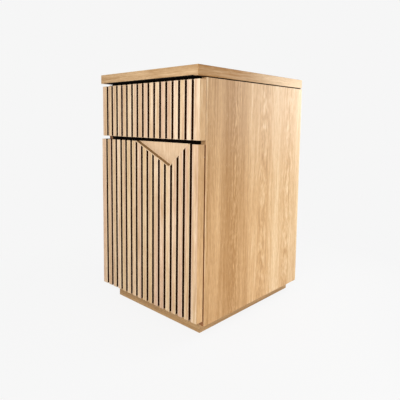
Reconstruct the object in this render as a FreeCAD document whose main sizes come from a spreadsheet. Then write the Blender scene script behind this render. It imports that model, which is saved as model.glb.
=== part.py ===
import FreeCAD
import Part
import math
import operator
import os
from types import SimpleNamespace

import Sketcher

# Driving sizes in millimetres. The nightstand stands on z = 0, faces -Y and is centred on x = 0 and y = 0.
SIZES = {
    # overall box and the top
    "width": 380,
    "depth": 452,
    "height": 648,
    "top_thickness": 24,
    "top_overhang": 28,
    "top_arris": 0.8,
    "shadow_gap": 3,
    "spacer_side_setback": 3,
    "spacer_front_setback": 40,
    # carcass boards
    "board": 15,
    "lipping": 5,
    "back_board": 6,
    "back_inset": 8,
    "back_tongue": 6,
    "slot_slack": 0.5,
    # plinth
    "plinth_height": 30,
    "plinth_board": 15,
    "plinth_front_inset": 13,
    "plinth_side_inset": 25,
    "plinth_back_inset": 12,
    "block_leg": 45,
    "block_lift": 2,
    # fronts
    "front_thickness": 21,
    "facing": 0.6,
    "edge_band": 1.2,
    "groove_count": 16,
    "groove_width": 7,
    "groove_depth": 6,
    "drawer_gap": 7.5,
    "drawer_front_height": 138.5,
    "drawer_standoff": 1,
    "door_gap": 9,
    "door_lift": 14.5,
    "door_standoff": 4.5,
    # triangular pull in the door's top edge
    "pull_from_right": 98,
    "pull_height": 57,
    "pull_left_run": 127,
    "pull_right_run": 63,
    "pull_rim": 2,
    "pull_recess": 12,
    "pull_floor": 3,
    # shelf, its middle a little above the cupboard's
    "shelf_rise": 2,
    "shelf_setback": 25,
    "shelf_play": 1,
    "shelf_pin_radius": 2.5,
    "shelf_pin_bite": 8,
    "shelf_pin_reach": 9,
    "shelf_pin_inset": 45,
    "shelf_hole_pitch": 32,
    # drawer box
    "box_board": 12,
    "box_lift": 12,
    "box_head_room": 16,
    "box_end_space": 51,
    "tray_board": 6,
    "tray_lift": 10,
    "tray_tongue": 6,
    # telescopic runners, three channels one in the next
    "runner_space": 12.7,
    "runner_setback": 2,
    "runner_end_space": 7,
    "runner_height": 45,
    "runner_steel": 1.2,
    "runner_gap": 0.3,
    "runner_outer_back": 3.7,
    "runner_middle_web": 4,
    "runner_middle_back": 2.2,
    "runner_inner_play": 1.3,
    "runner_screw_inset": 35,
    # cup hinges
    "hinge_inset": 80,
    "cup_edge": 3,
    "cup_radius": 17.5,
    "cup_depth": 12.5,
    "cup_steel": 0.8,
    "cup_rim": 2,
    "cup_flange_steel": 1.2,
    "cup_wing_width": 18,
    "cup_wing_tail": 7,
    "cup_wing_shift": 5,
    "cup_screw_spacing": 48,
    "pin_radius": 1.25,
    "ear_gap": 0.3,
    "ear_steel": 2.9,
    "ear_half_width": 1.9,
    "arm_height": 10,
    "arm_steel": 2.5,
    "arm_knuckle": 2.6,
    "arm_lift": 3.75,
    "arm_base_start": 27,
    "arm_base_length": 55,
    "arm_base_height": 18,
    "knuckle_floor_gap": 0.55,
    "knuckle_wall_gap": 1.55,
    "plate_steel": 3,
    "plate_length": 50,
    "plate_bar": 20,
    "plate_wing": 18,
    "plate_tail": 7,
    "plate_screw_spacing": 32,
    # small hardware
    "fit_gap": 0.05,
    "tenon_thickness": 6,
    "tenon_width": 30,
    "tenon_in_side": 10,
    "tenon_in_board": 20,
    "tenon_inset": 60,
    "screw_radius": 1.75,
    "screw_head": 3.4,
    "screw_head_height": 1.4,
    "screw_bite": 9,
    "top_screw_inset": 55,
    "front_screw_side_inset": 60,
    "front_screw_edge_inset": 28,
    "bumper_radius": 4,
    "bumper_play": 0.3,
    "bumper_inset": 30,
}
# Screws are drawn with few sides
SHANK_SIDES = 6
HEAD_SIDES = 12

SIGNS = {"+": operator.add, "-": operator.sub, "*": operator.mul, "/": operator.truediv}

doc = FreeCAD.newDocument("nightstand")
sheet = doc.addObject("Spreadsheet::Sheet", "Sizes")
for row, (alias, number) in enumerate(SIZES.items(), start=1):
    sheet.set(f"A{row}", alias)
    sheet.set(f"B{row}", str(number))
    sheet.setAlias(f"B{row}", alias)
doc.recompute()


class Size:
    """A length held both as a number and as the sheet expression that gives it."""

    def __init__(self, value, text):
        self.value = value
        self.text = text

    def __add__(self, other):
        return combine(self, "+", other)

    def __radd__(self, other):
        return combine(other, "+", self)

    def __sub__(self, other):
        return combine(self, "-", other)

    def __rsub__(self, other):
        return combine(other, "-", self)

    def __mul__(self, other):
        return combine(self, "*", other)

    def __rmul__(self, other):
        return combine(other, "*", self)

    def __truediv__(self, other):
        return combine(self, "/", other)

    def __neg__(self):
        return combine(0, "-", self)


def as_size(length):
    """A plain number becomes a size that the sheet doesn't drive."""
    return length if isinstance(length, Size) else Size(length, f"{length}")


def combine(first, sign, second):
    """The sum, difference, product or quotient of two lengths."""
    first = as_size(first)
    second = as_size(second)
    return Size(SIGNS[sign](first.value, second.value), f"({first.text} {sign} {second.text})")


def hypotenuse(first, second):
    """The long side of a right triangle."""
    return Size(math.hypot(first.value, second.value), f"sqrt({first.text}^2 + {second.text}^2)")


s = SimpleNamespace(**{alias: Size(number, f"Sizes.{alias}") for alias, number in SIZES.items()})
ZERO = as_size(0)

# Planes that several pieces share
LEFT = -s.width / 2
RIGHT = s.width / 2
FRONT = -s.depth / 2
BACK = s.depth / 2
INNER_LEFT = LEFT + s.board
INNER_RIGHT = RIGHT - s.board
CARCASS_FRONT = FRONT + s.top_overhang
INNER_BACK = BACK - s.back_inset - s.back_board
CARCASS_BOTTOM = s.plinth_height
FLOOR_TOP = CARCASS_BOTTOM + s.board
TOP_UNDER = s.height - s.top_thickness
SIDE_TOP = TOP_UNDER - s.shadow_gap
SUB_TOP_UNDER = TOP_UNDER - s.board
DRAWER_HIGH = TOP_UNDER - s.drawer_gap
DRAWER_LOW = DRAWER_HIGH - s.drawer_front_height
DOOR_HIGH = DRAWER_LOW - s.door_gap
DOOR_LOW = CARCASS_BOTTOM + s.door_lift
DIVIDER_TOP = DOOR_HIGH + (s.door_gap + s.board) / 2
DRAWER_BACK = CARCASS_FRONT - s.drawer_standoff
DOOR_BACK = CARCASS_FRONT - s.door_standoff
DOOR_FACE = DOOR_BACK - s.front_thickness
PITCH = s.width / (s.groove_count + 1)

ALONG = {
    "x": FreeCAD.Rotation(FreeCAD.Vector(0, 1, 0), 90),
    "y": FreeCAD.Rotation(FreeCAD.Vector(1, 0, 0), -90),
    "z": FreeCAD.Rotation(),
}

nodes = []


def node(thing):
    """Hand in a finished piece: its label names its file."""
    nodes.append(thing)
    return thing


def bind(thing, size_name, length):
    thing.setExpression(size_name, as_size(length).text)


def place(thing, x, y, z):
    for axis, length in zip("xyz", (x, y, z)):
        bind(thing, f"Placement.Base.{axis}", length)


def board(name, x, y, z):
    """A square-edged board between three pairs of planes."""
    box = doc.addObject("Part::Box", name)
    for side, (low, high) in zip(("Length", "Width", "Height"), (x, y, z)):
        bind(box, side, high - low)
    place(box, x[0], y[0], z[0])
    return box


def lay(thing, x, y, z):
    """Lay a rod or bar along the one axis that is given as a pair of ends."""
    at = {"x": x, "y": y, "z": z}
    axis = next(letter for letter, spot in at.items() if isinstance(spot, tuple))
    low, high = at[axis]
    at[axis] = low
    thing.Placement = FreeCAD.Placement(FreeCAD.Vector(), ALONG[axis])
    bind(thing, "Height", high - low)
    place(thing, at["x"], at["y"], at["z"])
    return thing


def rod(name, radius, x, y, z):
    cylinder = doc.addObject("Part::Cylinder", name)
    bind(cylinder, "Radius", radius)
    return lay(cylinder, x, y, z)


def bar(name, sides, radius, x, y, z):
    prism = doc.addObject("Part::Prism", name)
    prism.Polygon = sides
    bind(prism, "Circumradius", radius)
    return lay(prism, x, y, z)


def group(name, pieces):
    """Separate solids that share one node."""
    compound = doc.addObject("Part::Compound", name)
    compound.Links = pieces
    return compound


def cut(name, base, tools):
    """A piece with holes, slots or pockets taken out of it."""
    result = doc.addObject("Part::Cut", name)
    result.Base = base
    result.Tool = tools[0] if len(tools) == 1 else group(f"{name}_tools", tools)
    return result


def screw(name, x, y, z, head):
    """A pan-head screw: the shank spans the axis given as a pair, the head sits on its low or high end."""
    shank = bar(f"{name}_shank", SHANK_SIDES, s.screw_radius, x, y, z)
    spots = [x, y, z]
    axis = next(index for index, spot in enumerate(spots) if isinstance(spot, tuple))
    low, high = spots[axis]
    spots[axis] = (low - s.screw_head_height, low) if head == "low" else (high, high + s.screw_head_height)
    cap = bar(f"{name}_head", HEAD_SIDES, s.screw_head, *spots)
    joined = doc.addObject("Part::Fuse", name)
    joined.Base = shank
    joined.Tool = cap
    return joined


def screw_hole(name, x, y, z):
    return bar(name, SHANK_SIDES, s.screw_radius + s.fit_gap, x, y, z)


def new_body(name, x=ZERO, y=ZERO, z=ZERO):
    body = doc.addObject("PartDesign::Body", name)
    place(body, x, y, z)
    return body


def origin_plane(body, role):
    return next(feature for feature in body.Origin.OriginFeatures if feature.Role == role)


def new_sketch(body, role, lift):
    """An empty sketch on one of the body's planes, lifted along that plane's normal."""
    sketch = body.newObject("Sketcher::SketchObject", f"{body.Name}_sketch")
    sketch.AttachmentSupport = [(origin_plane(body, role), "")]
    sketch.MapMode = "FlatFace"
    bind(sketch, "AttachmentOffset.Base.z", lift)
    return sketch


def fix_point(sketch, geometry, corner, point):
    """Tie a sketch point's two coordinates to the sheet."""
    for kind, length in zip(("DistanceX", "DistanceY"), point):
        number = sketch.addConstraint(Sketcher.Constraint(kind, geometry, corner, as_size(length).value))
        bind(sketch, f"Constraints[{number}]", length)


def outline(body, role, points, lift=ZERO):
    """A closed outline of straight edges through the given corners."""
    sketch = new_sketch(body, role, lift)
    corners = [FreeCAD.Vector(as_size(x).value, as_size(y).value, 0) for x, y in points]
    count = len(corners)
    for index in range(count):
        sketch.addGeometry(Part.LineSegment(corners[index], corners[(index + 1) % count]))
    for index in range(count):
        sketch.addConstraint(Sketcher.Constraint("Coincident", index, 2, (index + 1) % count, 1))
    for index, point in enumerate(points):
        fix_point(sketch, index, 1, point)
    return sketch


def rectangle(body, role, across, up, lift=ZERO):
    points = [(across[0], up[0]), (across[1], up[0]), (across[1], up[1]), (across[0], up[1])]
    return outline(body, role, points, lift)


def circle(body, role, centre, radius, lift=ZERO):
    sketch = new_sketch(body, role, lift)
    middle = FreeCAD.Vector(as_size(centre[0]).value, as_size(centre[1]).value, 0)
    sketch.addGeometry(Part.Circle(middle, FreeCAD.Vector(0, 0, 1), radius.value))
    fix_point(sketch, 0, 3, centre)
    number = sketch.addConstraint(Sketcher.Constraint("Radius", 0, radius.value))
    bind(sketch, f"Constraints[{number}]", radius)
    return sketch


def feature(body, kind, sketch, length, reverse=False):
    """A pad or pocket of the given length; the XZ plane's own normal points to the front."""
    made = body.newObject(f"PartDesign::{kind}", f"{body.Name}_{kind.lower()}")
    made.Profile = sketch
    made.Reversed = reverse
    bind(made, "Length", length)
    return made


# Fixings whose places several pieces read

TENON_LEVELS = {
    "bottom": CARCASS_BOTTOM + s.board / 2,
    "divider": DIVIDER_TOP - s.board / 2,
    "sub_top": (SUB_TOP_UNDER + SIDE_TOP) / 2,
}
TENON_ROWS = (CARCASS_FRONT + s.tenon_inset, INNER_BACK - s.tenon_inset)
TENON_SPANS = {
    "left": (INNER_LEFT - s.tenon_in_side, INNER_LEFT + s.tenon_in_board),
    "right": (INNER_RIGHT - s.tenon_in_board, INNER_RIGHT + s.tenon_in_side),
}


def tenons(name, play=ZERO, levels=tuple(TENON_LEVELS), sides=tuple(TENON_SPANS)):
    """Loose tenons, or with some play the mortises for them, in the chosen boards and sides."""
    half_width = s.tenon_width / 2 + play
    half_height = s.tenon_thickness / 2 + play
    made = []
    for level in levels:
        up = (TENON_LEVELS[level] - half_height, TENON_LEVELS[level] + half_height)
        for side in sides:
            for row in TENON_ROWS:
                along = (row - half_width, row + half_width)
                made.append(board(f"{name}_{level}_{side}", TENON_SPANS[side], along, up))
    return made


def mortises(name, **which):
    return tenons(f"{name}_mortise", s.fit_gap, **which)


SHELF_UNDER = (FLOOR_TOP + DIVIDER_TOP - s.board) / 2 + s.shelf_rise - s.board / 2
SHELF_FRONT = CARCASS_FRONT + s.shelf_setback
SHELF_BACK = INNER_BACK - s.shelf_play
SHELF_PIN_LEVEL = SHELF_UNDER - s.shelf_pin_radius
SHELF_PIN_ROWS = (SHELF_FRONT + s.shelf_pin_inset, SHELF_BACK - s.shelf_pin_inset)
SHELF_PIN_SPANS = {
    "left": (INNER_LEFT - s.shelf_pin_bite, INNER_LEFT + s.shelf_pin_reach),
    "right": (INNER_RIGHT - s.shelf_pin_reach, INNER_RIGHT + s.shelf_pin_bite),
}
SHELF_HOLE_STEPS = (-1, 0, 1)


def shelf_holes(side):
    """Three levels of holes in two rows, so that the shelf can be moved."""
    made = []
    for row in SHELF_PIN_ROWS:
        for step in SHELF_HOLE_STEPS:
            level = SHELF_PIN_LEVEL + step * s.shelf_hole_pitch
            radius = s.shelf_pin_radius + s.fit_gap
            made.append(rod(f"shelf_hole_{side}", radius, SHELF_PIN_SPANS[side], row, level))
    return made


BOX_LOW = DIVIDER_TOP + s.box_lift
BOX_HIGH = SUB_TOP_UNDER - s.box_head_room
BOX_LEFT = INNER_LEFT + s.runner_space
BOX_RIGHT = INNER_RIGHT - s.runner_space
BOX_END = INNER_BACK - s.box_end_space
RUNNER_LEVEL = (BOX_LOW + BOX_HIGH) / 2
RUNNER_FRONT = CARCASS_FRONT + s.runner_setback
RUNNER_END = BOX_END - s.runner_end_space
RUNNER_SCREW_ROWS = (RUNNER_FRONT + s.runner_screw_inset, RUNNER_END - s.runner_screw_inset)


def from_side(side, reach):
    """The x of a point that lies some way in from a side panel's inner face."""
    return INNER_LEFT + reach if side == "left" else INNER_RIGHT - reach


def side_span(side, near, far):
    """Two such points as a rising pair."""
    ends = (from_side(side, near), from_side(side, far))
    return ends if side == "left" else ends[::-1]


def runner_outer_screws(make, name, side, **head):
    span = side_span(side, -s.screw_bite, s.runner_steel)
    return [make(f"{name}_{side}", span, row, RUNNER_LEVEL, **head) for row in RUNNER_SCREW_ROWS]


def runner_inner_screws(make, name, side, **head):
    span = side_span(side, s.runner_space - s.runner_steel, s.runner_space + s.screw_bite)
    return [make(f"{name}_{side}", span, row, RUNNER_LEVEL, **head) for row in RUNNER_SCREW_ROWS]


HINGE_LEVELS = {"lower": DOOR_LOW + s.hinge_inset, "upper": DOOR_HIGH - s.hinge_inset}
CUP_X = LEFT + s.cup_edge + s.cup_radius
CUP_OUTER = s.cup_radius - s.fit_gap
CUP_MOUTH = CUP_OUTER - s.cup_steel
CUP_UNDER = s.fit_gap - s.cup_depth
CUP_FLOOR = CUP_UNDER + s.cup_steel
PIN_X = CUP_X - CUP_MOUTH + s.knuckle_wall_gap + s.arm_knuckle
PIN_RISE = CUP_FLOOR + s.knuckle_floor_gap + s.arm_knuckle
PIN_Y = DOOR_BACK + PIN_RISE
EAR_INNER = s.arm_height / 2 + s.ear_gap
EAR_OUTER = EAR_INNER + s.ear_steel
PLATE_TOP = INNER_LEFT + s.plate_steel
PLATE_MIDDLE = PIN_Y + s.arm_base_start + s.arm_base_length / 2


def plate_screws(make, name, hinge, **head):
    span = (INNER_LEFT - s.screw_bite, PLATE_TOP)
    half = s.plate_screw_spacing / 2
    levels = (HINGE_LEVELS[hinge] - half, HINGE_LEVELS[hinge] + half)
    return [make(f"{name}_{hinge}", span, PLATE_MIDDLE, level, **head) for level in levels]


def cup_screws(make, name, hinge, **head):
    span = (DOOR_BACK - s.screw_bite, DOOR_BACK + s.cup_flange_steel)
    half = s.cup_screw_spacing / 2
    levels = (HINGE_LEVELS[hinge] - half, HINGE_LEVELS[hinge] + half)
    return [make(f"{name}_{hinge}", CUP_X + s.cup_wing_shift, span, level, **head) for level in levels]


TOP_SCREW_SPOTS = [
    (x, y)
    for x in (INNER_LEFT + s.top_screw_inset, INNER_RIGHT - s.top_screw_inset)
    for y in (CARCASS_FRONT + s.top_screw_inset, INNER_BACK - s.top_screw_inset)
]


def top_screws(make, name, **head):
    span = (SUB_TOP_UNDER, TOP_UNDER + s.screw_bite)
    return [make(name, x, y, span, **head) for x, y in TOP_SCREW_SPOTS]


FRONT_SCREW_SPOTS = [
    (x, z)
    for x in (BOX_LEFT + s.front_screw_side_inset, BOX_RIGHT - s.front_screw_side_inset)
    for z in (BOX_LOW + s.front_screw_edge_inset, BOX_HIGH - s.front_screw_edge_inset)
]


def front_screws(make, name, **head):
    span = (DRAWER_BACK - s.screw_bite, DRAWER_BACK + s.box_board)
    return [make(name, x, span, z, **head) for x, z in FRONT_SCREW_SPOTS]


# Carcass

def top_panel():
    """The overhanging slab, with its sharp edges eased all round."""
    body = new_body("top_panel_blank")
    plan = rectangle(body, "XY_Plane", (LEFT, RIGHT), (FRONT, BACK), TOP_UNDER)
    slab = feature(body, "Pad", plan, s.top_thickness)
    doc.recompute()
    arris = body.newObject("PartDesign::Chamfer", "top_arris")
    arris.Base = (slab, [f"Edge{number + 1}" for number in range(len(slab.Shape.Edges))])
    bind(arris, "Size", s.top_arris)
    node(cut("top_panel", body, top_screws(screw_hole, "top_hole")))


def side_panels():
    """Two sides, slotted for the back and bored for the hardware, each lipped with solid wood in front."""
    for side in ("left", "right"):
        outer, inner = (LEFT, INNER_LEFT) if side == "left" else (INNER_RIGHT, RIGHT)
        blank = board(
            f"side_blank_{side}",
            (outer, inner),
            (CARCASS_FRONT + s.lipping, BACK),
            (CARCASS_BOTTOM, SIDE_TOP),
        )
        slot = board(
            f"back_slot_{side}",
            side_span(side, -(s.back_tongue + s.slot_slack), ZERO),
            (INNER_BACK, INNER_BACK + s.back_board),
            (CARCASS_BOTTOM, SIDE_TOP),
        )
        holes = [slot] + mortises(side, sides=(side,)) + shelf_holes(side)
        holes += runner_outer_screws(screw_hole, "runner_hole", side)
        if side == "left":
            for hinge in HINGE_LEVELS:
                holes += plate_screws(screw_hole, "plate_hole", hinge)
        node(cut(f"side_panel_{side}", blank, holes))
        node(board(
            f"side_lipping_{side}",
            (outer, inner),
            (CARCASS_FRONT, CARCASS_FRONT + s.lipping),
            (CARCASS_BOTTOM, SIDE_TOP),
        ))


def cross_boards():
    """Bottom, divider and the dark board that spaces the top off the sides, all tenoned between them."""
    across = (INNER_LEFT, INNER_RIGHT)
    inside = (CARCASS_FRONT, INNER_BACK)
    bottom = board("bottom_blank", across, inside, (CARCASS_BOTTOM, FLOOR_TOP))
    node(cut("bottom_panel", bottom, mortises("bottom", levels=("bottom",))))
    middle = board("divider_blank", across, inside, (DIVIDER_TOP - s.board, DIVIDER_TOP))
    node(cut("divider", middle, mortises("divider", levels=("divider",))))
    upper = doc.addObject("Part::Fuse", "sub_top_blank")
    upper.Base = board("sub_top_board", across, inside, (SUB_TOP_UNDER, TOP_UNDER))
    upper.Tool = board(
        "top_spacer",
        (LEFT + s.spacer_side_setback, RIGHT - s.spacer_side_setback),
        (CARCASS_FRONT + s.spacer_front_setback, BACK - s.spacer_side_setback),
        (SIDE_TOP, TOP_UNDER),
    )
    upper.Refine = True
    holes = mortises("sub_top", levels=("sub_top",)) + top_screws(screw_hole, "sub_top_hole")
    node(cut("sub_top", upper, holes))
    node(group("carcass_tenons", tenons("tenon")))
    node(group("top_screws", top_screws(screw, "top_screw", head="low")))


def back_panel():
    """A thin back held in the slots of the sides."""
    node(board(
        "back_panel",
        (INNER_LEFT - s.back_tongue, INNER_RIGHT + s.back_tongue),
        (INNER_BACK, INNER_BACK + s.back_board),
        (CARCASS_BOTTOM, SIDE_TOP),
    ))


def shelf():
    """A loose shelf on four pins."""
    node(board(
        "shelf",
        (INNER_LEFT + s.shelf_play, INNER_RIGHT - s.shelf_play),
        (SHELF_FRONT, SHELF_BACK),
        (SHELF_UNDER, SHELF_UNDER + s.board),
    ))
    pins = []
    for side, span in SHELF_PIN_SPANS.items():
        for row in SHELF_PIN_ROWS:
            pins.append(rod(f"shelf_pin_{side}", s.shelf_pin_radius, span, row, SHELF_PIN_LEVEL))
    node(group("shelf_pins", pins))


def plinth():
    """Four mitred rails set back under the carcass, with a glue block in each corner."""
    low_x = LEFT + s.plinth_side_inset
    high_x = RIGHT - s.plinth_side_inset
    low_y = CARCASS_FRONT + s.plinth_front_inset
    high_y = BACK - s.plinth_back_inset
    thick = s.plinth_board
    outer = [(low_x, low_y), (high_x, low_y), (high_x, high_y), (low_x, high_y)]
    inner = [
        (low_x + thick, low_y + thick),
        (high_x - thick, low_y + thick),
        (high_x - thick, high_y - thick),
        (low_x + thick, high_y - thick),
    ]
    for index, name in enumerate(("front", "right", "back", "left")):
        following = (index + 1) % len(outer)
        rail = new_body(f"plinth_{name}")
        corners = [outer[index], outer[following], inner[following], inner[index]]
        feature(rail, "Pad", outline(rail, "XY_Plane", corners), s.plinth_height)
        node(rail)
    turns = {"front_left": (1, 1), "front_right": (-1, 1), "back_right": (-1, -1), "back_left": (1, -1)}
    for (x, y), (name, (right, back)) in zip(inner, turns.items()):
        block = new_body(f"plinth_block_{name}")
        corners = [(x, y), (x + right * s.block_leg, y), (x, y + back * s.block_leg)]
        plan = outline(block, "XY_Plane", corners, s.block_lift)
        feature(block, "Pad", plan, s.plinth_height - s.block_lift)
        node(block)


def bumpers():
    """Soft stops on the front edge of the right side, where the closed door comes to rest."""
    span = (DOOR_BACK + s.bumper_play, CARCASS_FRONT)
    levels = (DOOR_LOW + s.bumper_inset, DOOR_HIGH - s.bumper_inset)
    middle = RIGHT - s.board / 2
    node(group("door_bumpers", [rod("bumper", s.bumper_radius, middle, span, level) for level in levels]))


# Slatted fronts

def grooved(name, x, z, face, thickness, depth):
    """A board whose front face has the evenly spaced upright grooves."""
    body = new_body(name, y=face)
    feature(body, "Pad", rectangle(body, "XZ_Plane", x, z), thickness, reverse=True)
    first = LEFT + PITCH
    groove = rectangle(body, "XZ_Plane", (first - s.groove_width / 2, first + s.groove_width / 2), z)
    pocket = feature(body, "Pocket", groove, depth)
    doc.recompute()
    row_of_grooves = body.newObject("PartDesign::LinearPattern", f"{name}_grooves")
    row_of_grooves.Originals = [pocket]
    row_of_grooves.Direction = (origin_plane(body, "X_Axis"), [""])
    row_of_grooves.Mode = "Spacing"
    bind(row_of_grooves, "Occurrences", s.groove_count)
    bind(row_of_grooves, "Offset", PITCH)
    body.Tip = row_of_grooves
    return body


def slatted_front(name, face, low, high, core_cuts, face_cuts):
    """A dark core with a thin oak facing and edge bands, all grooved through so that the slats stand out."""
    core_face = face + s.facing
    depth = (core_face, face + s.front_thickness)
    within = (LEFT + s.edge_band, RIGHT - s.edge_band)
    lower = (low, low + s.edge_band)
    upper = (high - s.edge_band, high)

    def behind_facing(part, z):
        return grooved(part, within, z, core_face, depth[1] - depth[0], s.groove_depth - s.facing)

    core = behind_facing(f"{name}_core_blank", (lower[1], upper[0]))
    node(cut(f"{name}_core", core, core_cuts))
    for side, span in (("left", (LEFT, within[0])), ("right", (within[1], RIGHT))):
        node(board(f"{name}_band_{side}", span, depth, (low, high)))
    node(behind_facing(f"{name}_band_bottom", lower))
    if face_cuts:
        facing = grooved(f"{name}_facing_blank", (LEFT, RIGHT), (low, high), face, s.facing, s.facing)
        node(cut(f"{name}_facing", facing, face_cuts))
        band = behind_facing(f"{name}_band_top_blank", upper)
        node(cut(f"{name}_band_top", band, face_cuts))
    else:
        node(grooved(f"{name}_facing", (LEFT, RIGHT), (low, high), face, s.facing, s.facing))
        node(behind_facing(f"{name}_band_top", upper))


# Drawer

def drawer():
    """A four-sided box with a slotted-in bottom, hung on runners behind the slatted front."""
    face = DRAWER_BACK - s.front_thickness
    slatted_front("drawer", face, DRAWER_LOW, DRAWER_HIGH, front_screws(screw_hole, "front_hole"), [])
    inner_x = (BOX_LEFT + s.box_board, BOX_RIGHT - s.box_board)
    inner_y = (DRAWER_BACK + s.box_board, BOX_END - s.box_board)
    tray_level = (BOX_LOW + s.tray_lift, BOX_LOW + s.tray_lift + s.tray_board)
    full = (BOX_LOW, BOX_HIGH)
    slot = board(
        "tray_slot",
        (inner_x[0] - s.tray_tongue, inner_x[1] + s.tray_tongue),
        (inner_y[0] - s.tray_tongue, inner_y[1] + s.tray_tongue),
        tray_level,
    )
    tongue = s.tray_tongue - s.slot_slack
    node(board(
        "drawer_tray",
        (inner_x[0] - tongue, inner_x[1] + tongue),
        (inner_y[0] - tongue, inner_y[1] + tongue),
        tray_level,
    ))
    for side, span in (("left", (BOX_LEFT, inner_x[0])), ("right", (inner_x[1], BOX_RIGHT))):
        wall = board(f"box_blank_{side}", span, (DRAWER_BACK, BOX_END), full)
        node(cut(f"drawer_box_{side}", wall, [slot] + runner_inner_screws(screw_hole, "box_hole", side)))
    wall = board("box_blank_front", inner_x, (DRAWER_BACK, inner_y[0]), full)
    node(cut("drawer_box_front", wall, [slot] + front_screws(screw_hole, "box_front_hole")))
    wall = board("box_blank_back", inner_x, (inner_y[1], BOX_END), full)
    node(cut("drawer_box_back", wall, [slot]))
    node(group("drawer_front_screws", front_screws(screw, "front_screw", head="high")))


# Runners

def channel(name, side, web, reach, half_height):
    """A steel channel along Y: its web stands at one reach from the side, its lips run to the other."""
    steel = s.runner_steel
    inward = web.value < reach.value
    back_of_web = web + steel if inward else web - steel
    profile = [
        (web, half_height),
        (reach, half_height),
        (reach, half_height - steel),
        (back_of_web, half_height - steel),
        (back_of_web, steel - half_height),
        (reach, steel - half_height),
        (reach, -half_height),
        (web, -half_height),
    ]
    body = new_body(name, y=RUNNER_FRONT, z=RUNNER_LEVEL)
    points = [(from_side(side, across), up) for across, up in profile]
    feature(body, "Pad", outline(body, "XZ_Plane", points), RUNNER_END - RUNNER_FRONT, reverse=True)
    return body


def runners():
    """Outer, middle and inner channels nested one in the next on each side of the drawer."""
    outer_half = s.runner_height / 2
    middle_half = outer_half - s.runner_steel - s.runner_gap
    inner_half = middle_half - s.runner_steel - s.runner_gap
    outer_reach = s.runner_space - s.runner_outer_back
    middle_reach = s.runner_space - s.runner_middle_back
    inner_reach = s.runner_middle_web + s.runner_steel + s.runner_inner_play
    outer_screws = []
    inner_screws = []
    for side in ("left", "right"):
        outer = channel(f"slide_outer_blank_{side}", side, ZERO, outer_reach, outer_half)
        node(cut(f"slide_outer_{side}", outer, runner_outer_screws(screw_hole, "outer_hole", side)))
        node(channel(f"slide_middle_{side}", side, s.runner_middle_web, middle_reach, middle_half))
        inner = channel(f"slide_inner_blank_{side}", side, s.runner_space, inner_reach, inner_half)
        node(cut(f"slide_inner_{side}", inner, runner_inner_screws(screw_hole, "inner_hole", side)))
        outer_head = "high" if side == "left" else "low"
        inner_head = "low" if side == "left" else "high"
        outer_screws += runner_outer_screws(screw, "outer_screw", side, head=outer_head)
        inner_screws += runner_inner_screws(screw, "inner_screw", side, head=inner_head)
    node(group("slide_outer_screws", outer_screws))
    node(group("slide_inner_screws", inner_screws))


# Door

def door_pull():
    """A triangular oak finger pull let into the door: a rim round a recess that opens at the top edge."""
    tip_x = RIGHT - s.pull_from_right
    tip_z = DOOR_HIGH - s.pull_height
    left_edge = hypotenuse(s.pull_left_run, s.pull_height)
    right_edge = hypotenuse(s.pull_right_run, s.pull_height)
    drop = s.pull_rim * (left_edge + right_edge) / (s.pull_left_run + s.pull_right_run)
    shift = (s.pull_rim * right_edge - drop * s.pull_right_run) / s.pull_height
    grown = (s.pull_height + drop) / s.pull_height
    outer_x = tip_x + shift
    outer = [
        (outer_x, tip_z - drop),
        (outer_x + s.pull_right_run * grown, DOOR_HIGH),
        (outer_x - s.pull_left_run * grown, DOOR_HIGH),
    ]
    inner = [(tip_x, tip_z), (tip_x + s.pull_right_run, DOOR_HIGH), (tip_x - s.pull_left_run, DOOR_HIGH)]
    thickness = s.pull_recess + s.pull_floor
    seat = new_body("pull_seat", y=DOOR_FACE)
    feature(seat, "Pad", outline(seat, "XZ_Plane", outer), thickness, reverse=True)
    pull = new_body("door_pull", y=DOOR_FACE)
    feature(pull, "Pad", outline(pull, "XZ_Plane", outer), thickness, reverse=True)
    feature(pull, "Pocket", outline(pull, "XZ_Plane", inner), s.pull_recess)
    node(pull)
    return seat


def door():
    """The slatted door with its pull and the bores for two hinge cups."""
    seat = door_pull()
    core_cuts = [seat]
    for hinge, level in HINGE_LEVELS.items():
        bore = (DOOR_BACK - s.cup_depth, DOOR_BACK)
        core_cuts.append(rod(f"cup_bore_{hinge}", s.cup_radius, CUP_X, bore, level))
        core_cuts += cup_screws(screw_hole, "core_cup_hole", hinge)
    slatted_front("door", DOOR_FACE, DOOR_LOW, DOOR_HIGH, core_cuts, [seat])


# Hinges

def pin_rod(name, radius, hinge):
    level = HINGE_LEVELS[hinge]
    return rod(name, radius, PIN_X, PIN_Y, (level - EAR_OUTER, level + EAR_OUTER))


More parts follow.
